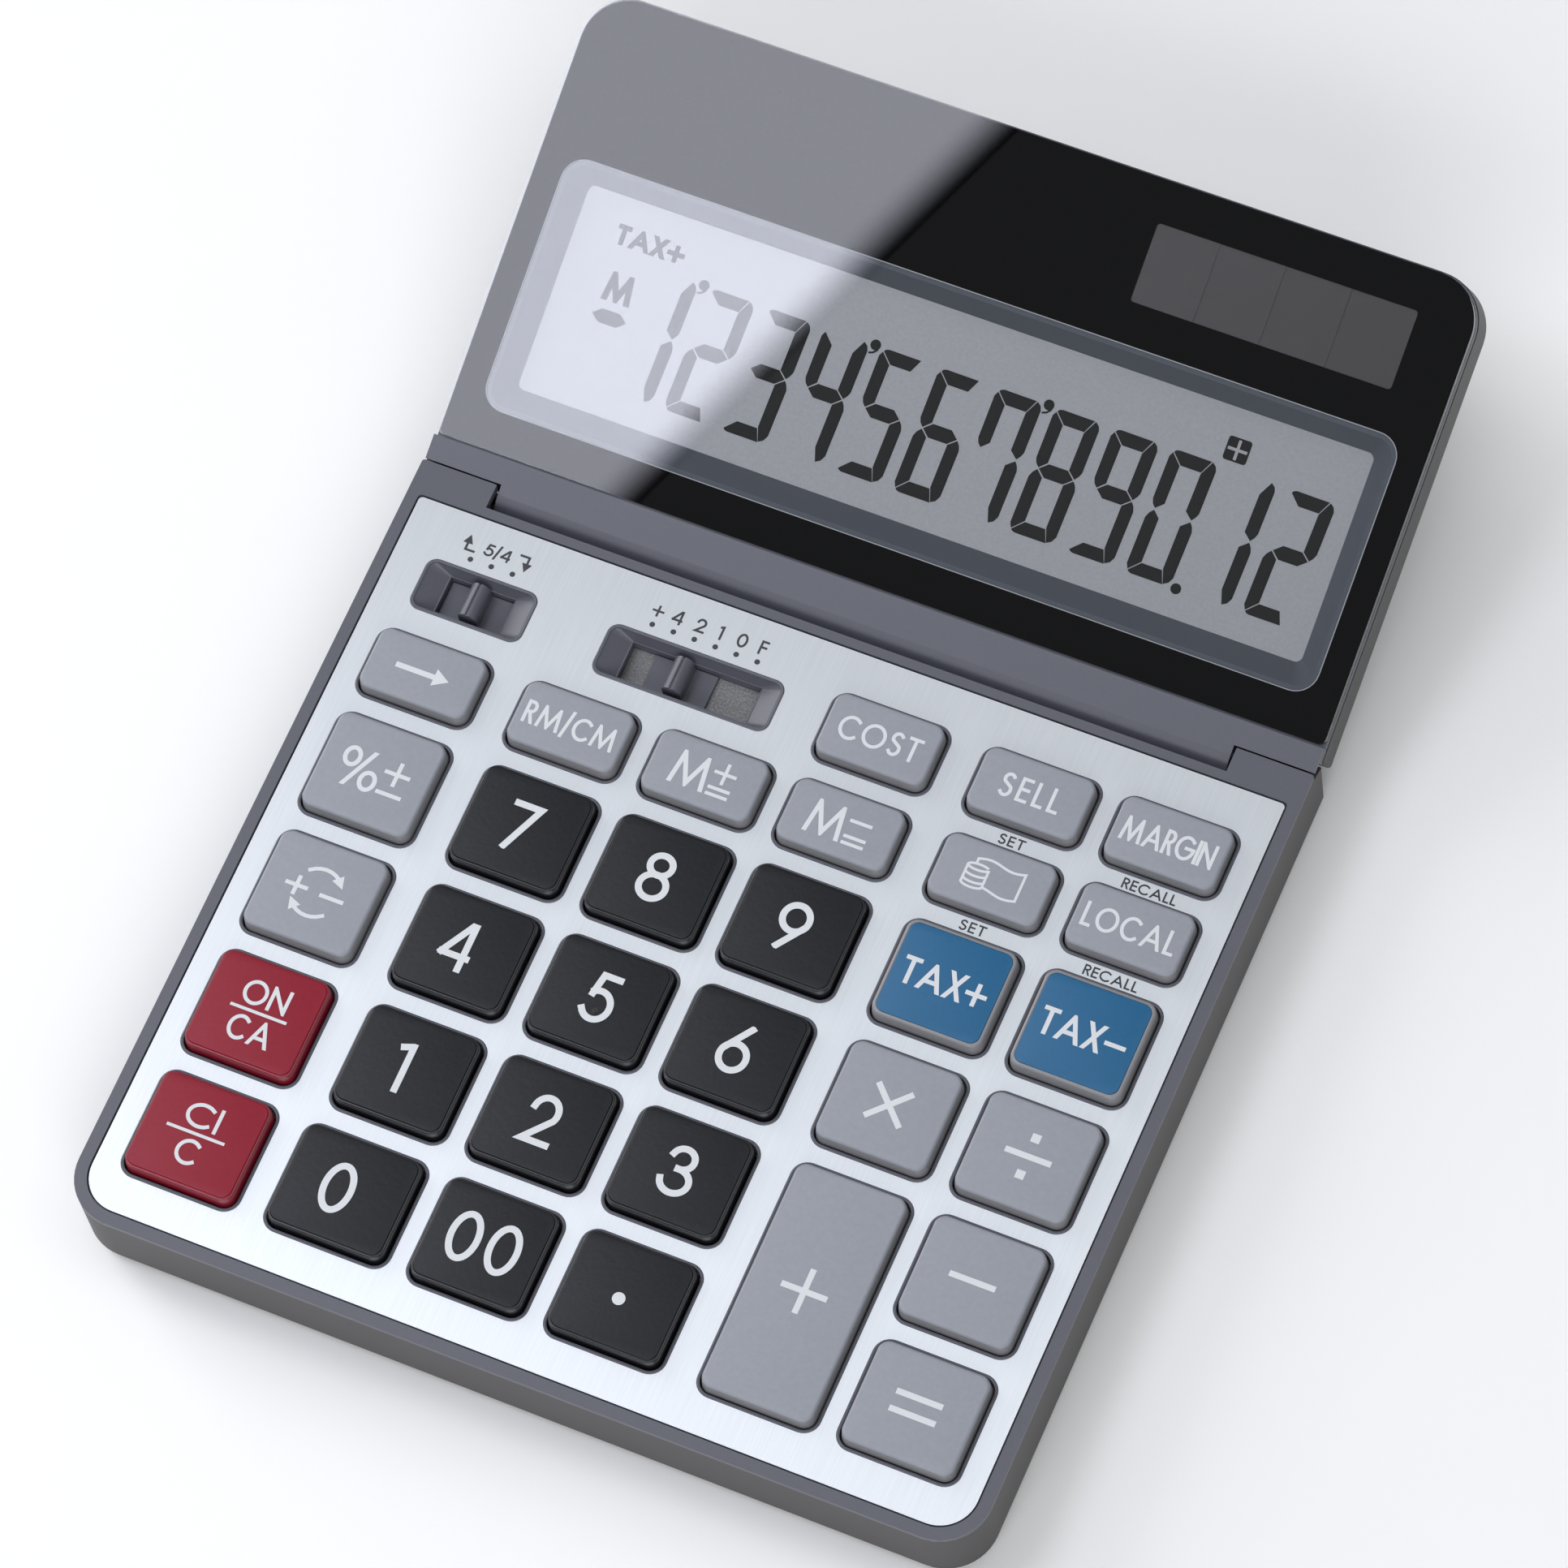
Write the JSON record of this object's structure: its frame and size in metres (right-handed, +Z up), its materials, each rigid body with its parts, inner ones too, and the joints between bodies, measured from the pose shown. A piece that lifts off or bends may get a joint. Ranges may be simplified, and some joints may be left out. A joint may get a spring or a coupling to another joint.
{
  "type": "desk calculator",
  "caption": "Flat desk calculator with a tilting display, press keys, rounding and decimal slide switches, and a solar cell beside the display window.",
  "frame": {"origin": "centre of the bounding box's footprint, on the surface that the feet stand on", "axes": "+X to the right, +Y from the front edge to the display, +Z up"},
  "size_m": [0.127, 0.1794, 0.0366],
  "materials": {
    "key_grey": "fine leather grain",
    "key_black": "fine leather grain",
    "key_red": "fine leather grain",
    "key_blue": "fine leather grain, grey shell",
    "case_dark": "fine grain",
    "case_grey": "fine grain",
    "plate_metal": "brushed front to back",
    "mat_rubber": "matt",
    "board_green": "solder mask",
    "resin_black": "cast resin",
    "foot_rubber": "matt",
    "screw_steel": "plated",
    "cell_steel": "plated",
    "contact_brass": "rolled",
    "wire_red": "insulation",
    "lens_acrylic": "polished",
    "bezel_slate": "fine grain",
    "lcd_glass": "matt polariser",
    "connector_rubber": "matt",
    "solar_glass": "smooth"
  },
  "bodies": {
    "base": {"top_case": "case_dark", "face_plate": "plate_metal", "key_mat": "mat_rubber", "main_board": "board_green", "processor": "resin_black", "bottom_case": "case_grey", "feet": "foot_rubber", "case_screws": "screw_steel", "small_screws": "screw_steel", "battery": "cell_steel", "battery_contacts": "contact_brass", "battery_cover": "case_grey", "hinge_pins": "screw_steel", "hinge_wires": "wire_red"},
    "display": {"display_back": "case_grey", "display_frame": "case_dark", "display_lens": "lens_acrylic", "lcd_bezel": "bezel_slate", "lcd_panel": "lcd_glass", "lcd_connector": "connector_rubber", "display_board": "board_green", "display_wires": "wire_red", "solar_panel": "solar_glass", "display_screws": "screw_steel"},
    "rounding_switch": {"knob_rounding": "case_dark", "contact_rounding": "contact_brass"},
    "decimal_switch": {"knob_decimals": "case_dark", "contact_decimals": "contact_brass"},
    "key_shift_cap": {"key_shift": "key_grey"},
    "key_percent_cap": {"key_percent": "key_grey"},
    "key_sign_cap": {"key_sign": "key_grey"},
    "key_on_cap": {"key_on": "key_red"},
    "key_clear_cap": {"key_clear": "key_red"},
    "key_memory_recall_cap": {"key_memory_recall": "key_grey"},
    "key_7_cap": {"key_7": "key_black"},
    "key_4_cap": {"key_4": "key_black"},
    "key_1_cap": {"key_1": "key_black"},
    "key_0_cap": {"key_0": "key_black"},
    "key_memory_plus_cap": {"key_memory_plus": "key_grey"},
    "key_8_cap": {"key_8": "key_black"},
    "key_5_cap": {"key_5": "key_black"},
    "key_2_cap": {"key_2": "key_black"},
    "key_00_cap": {"key_00": "key_black"},
    "key_cost_cap": {"key_cost": "key_grey"},
    "key_memory_minus_cap": {"key_memory_minus": "key_grey"},
    "key_9_cap": {"key_9": "key_black"},
    "key_6_cap": {"key_6": "key_black"},
    "key_3_cap": {"key_3": "key_black"},
    "key_point_cap": {"key_point": "key_black"},
    "key_sell_cap": {"key_sell": "key_grey"},
    "key_currency_cap": {"key_currency": "key_grey"},
    "key_tax_plus_cap": {"key_tax_plus": "key_blue"},
    "key_multiply_cap": {"key_multiply": "key_grey"},
    "key_plus_cap": {"key_plus": "key_grey"},
    "key_margin_cap": {"key_margin": "key_grey"},
    "key_local_cap": {"key_local": "key_grey"},
    "key_tax_minus_cap": {"key_tax_minus": "key_blue"},
    "key_divide_cap": {"key_divide": "key_grey"},
    "key_minus_cap": {"key_minus": "key_grey"},
    "key_equals_cap": {"key_equals": "key_grey"}
  },
  "joints": [
    {"name": "display_tilt", "type": "hinge", "parent": "base", "child": "display", "pos_m": [0, 0.02409, 0.00921], "axis": [1, 0, 0], "range_deg": [-20.87, 0]},
    {"name": "rounding_slide", "type": "slide", "parent": "base", "child": "rounding_switch", "axis": [1, 0, 0], "range_m": [-0.00303, 0.00303]},
    {"name": "decimal_slide", "type": "slide", "parent": "base", "child": "decimal_switch", "axis": [1, 0, 0], "range_m": [-0.00606, 0.00909]},
    {"name": "press_shift", "type": "slide", "parent": "base", "child": "key_shift_cap", "axis": [0, 0, -1], "range_m": [0, 0.0015], "stiffness_N_per_m": 500, "springref_m": -0.0004},
    {"name": "press_percent", "type": "slide", "parent": "base", "child": "key_percent_cap", "axis": [0, 0, -1], "range_m": [0, 0.0015], "stiffness_N_per_m": 500, "springref_m": -0.0004},
    {"name": "press_sign", "type": "slide", "parent": "base", "child": "key_sign_cap", "axis": [0, 0, -1], "range_m": [0, 0.0015], "stiffness_N_per_m": 500, "springref_m": -0.0004},
    {"name": "press_on", "type": "slide", "parent": "base", "child": "key_on_cap", "axis": [0, 0, -1], "range_m": [0, 0.0015], "stiffness_N_per_m": 500, "springref_m": -0.0004},
    {"name": "press_clear", "type": "slide", "parent": "base", "child": "key_clear_cap", "axis": [0, 0, -1], "range_m": [0, 0.0015], "stiffness_N_per_m": 500, "springref_m": -0.0004},
    {"name": "press_memory_recall", "type": "slide", "parent": "base", "child": "key_memory_recall_cap", "axis": [0, 0, -1], "range_m": [0, 0.0015], "stiffness_N_per_m": 500, "springref_m": -0.0004},
    {"name": "press_7", "type": "slide", "parent": "base", "child": "key_7_cap", "axis": [0, 0, -1], "range_m": [0, 0.0015], "stiffness_N_per_m": 500, "springref_m": -0.0004},
    {"name": "press_4", "type": "slide", "parent": "base", "child": "key_4_cap", "axis": [0, 0, -1], "range_m": [0, 0.0015], "stiffness_N_per_m": 500, "springref_m": -0.0004},
    {"name": "press_1", "type": "slide", "parent": "base", "child": "key_1_cap", "axis": [0, 0, -1], "range_m": [0, 0.0015], "stiffness_N_per_m": 500, "springref_m": -0.0004},
    {"name": "press_0", "type": "slide", "parent": "base", "child": "key_0_cap", "axis": [0, 0, -1], "range_m": [0, 0.0015], "stiffness_N_per_m": 500, "springref_m": -0.0004},
    {"name": "press_memory_plus", "type": "slide", "parent": "base", "child": "key_memory_plus_cap", "axis": [0, 0, -1], "range_m": [0, 0.0015], "stiffness_N_per_m": 500, "springref_m": -0.0004},
    {"name": "press_8", "type": "slide", "parent": "base", "child": "key_8_cap", "axis": [0, 0, -1], "range_m": [0, 0.0015], "stiffness_N_per_m": 500, "springref_m": -0.0004},
    {"name": "press_5", "type": "slide", "parent": "base", "child": "key_5_cap", "axis": [0, 0, -1], "range_m": [0, 0.0015], "stiffness_N_per_m": 500, "springref_m": -0.0004},
    {"name": "press_2", "type": "slide", "parent": "base", "child": "key_2_cap", "axis": [0, 0, -1], "range_m": [0, 0.0015], "stiffness_N_per_m": 500, "springref_m": -0.0004},
    {"name": "press_00", "type": "slide", "parent": "base", "child": "key_00_cap", "axis": [0, 0, -1], "range_m": [0, 0.0015], "stiffness_N_per_m": 500, "springref_m": -0.0004},
    {"name": "press_cost", "type": "slide", "parent": "base", "child": "key_cost_cap", "axis": [0, 0, -1], "range_m": [0, 0.0015], "stiffness_N_per_m": 500, "springref_m": -0.0004},
    {"name": "press_memory_minus", "type": "slide", "parent": "base", "child": "key_memory_minus_cap", "axis": [0, 0, -1], "range_m": [0, 0.0015], "stiffness_N_per_m": 500, "springref_m": -0.0004},
    {"name": "press_9", "type": "slide", "parent": "base", "child": "key_9_cap", "axis": [0, 0, -1], "range_m": [0, 0.0015], "stiffness_N_per_m": 500, "springref_m": -0.0004},
    {"name": "press_6", "type": "slide", "parent": "base", "child": "key_6_cap", "axis": [0, 0, -1], "range_m": [0, 0.0015], "stiffness_N_per_m": 500, "springref_m": -0.0004},
    {"name": "press_3", "type": "slide", "parent": "base", "child": "key_3_cap", "axis": [0, 0, -1], "range_m": [0, 0.0015], "stiffness_N_per_m": 500, "springref_m": -0.0004},
    {"name": "press_point", "type": "slide", "parent": "base", "child": "key_point_cap", "axis": [0, 0, -1], "range_m": [0, 0.0015], "stiffness_N_per_m": 500, "springref_m": -0.0004},
    {"name": "press_sell", "type": "slide", "parent": "base", "child": "key_sell_cap", "axis": [0, 0, -1], "range_m": [0, 0.0015], "stiffness_N_per_m": 500, "springref_m": -0.0004},
    {"name": "press_currency", "type": "slide", "parent": "base", "child": "key_currency_cap", "axis": [0, 0, -1], "range_m": [0, 0.0015], "stiffness_N_per_m": 500, "springref_m": -0.0004},
    {"name": "press_tax_plus", "type": "slide", "parent": "base", "child": "key_tax_plus_cap", "axis": [0, 0, -1], "range_m": [0, 0.0015], "stiffness_N_per_m": 500, "springref_m": -0.0004},
    {"name": "press_multiply", "type": "slide", "parent": "base", "child": "key_multiply_cap", "axis": [0, 0, -1], "range_m": [0, 0.0015], "stiffness_N_per_m": 500, "springref_m": -0.0004},
    {"name": "press_plus", "type": "slide", "parent": "base", "child": "key_plus_cap", "axis": [0, 0, -1], "range_m": [0, 0.0015], "stiffness_N_per_m": 500, "springref_m": -0.0004},
    {"name": "press_margin", "type": "slide", "parent": "base", "child": "key_margin_cap", "axis": [0, 0, -1], "range_m": [0, 0.0015], "stiffness_N_per_m": 500, "springref_m": -0.0004},
    {"name": "press_local", "type": "slide", "parent": "base", "child": "key_local_cap", "axis": [0, 0, -1], "range_m": [0, 0.0015], "stiffness_N_per_m": 500, "springref_m": -0.0004},
    {"name": "press_tax_minus", "type": "slide", "parent": "base", "child": "key_tax_minus_cap", "axis": [0, 0, -1], "range_m": [0, 0.0015], "stiffness_N_per_m": 500, "springref_m": -0.0004},
    {"name": "press_divide", "type": "slide", "parent": "base", "child": "key_divide_cap", "axis": [0, 0, -1], "range_m": [0, 0.0015], "stiffness_N_per_m": 500, "springref_m": -0.0004},
    {"name": "press_minus", "type": "slide", "parent": "base", "child": "key_minus_cap", "axis": [0, 0, -1], "range_m": [0, 0.0015], "stiffness_N_per_m": 500, "springref_m": -0.0004},
    {"name": "press_equals", "type": "slide", "parent": "base", "child": "key_equals_cap", "axis": [0, 0, -1], "range_m": [0, 0.0015], "stiffness_N_per_m": 500, "springref_m": -0.0004}
  ]
}
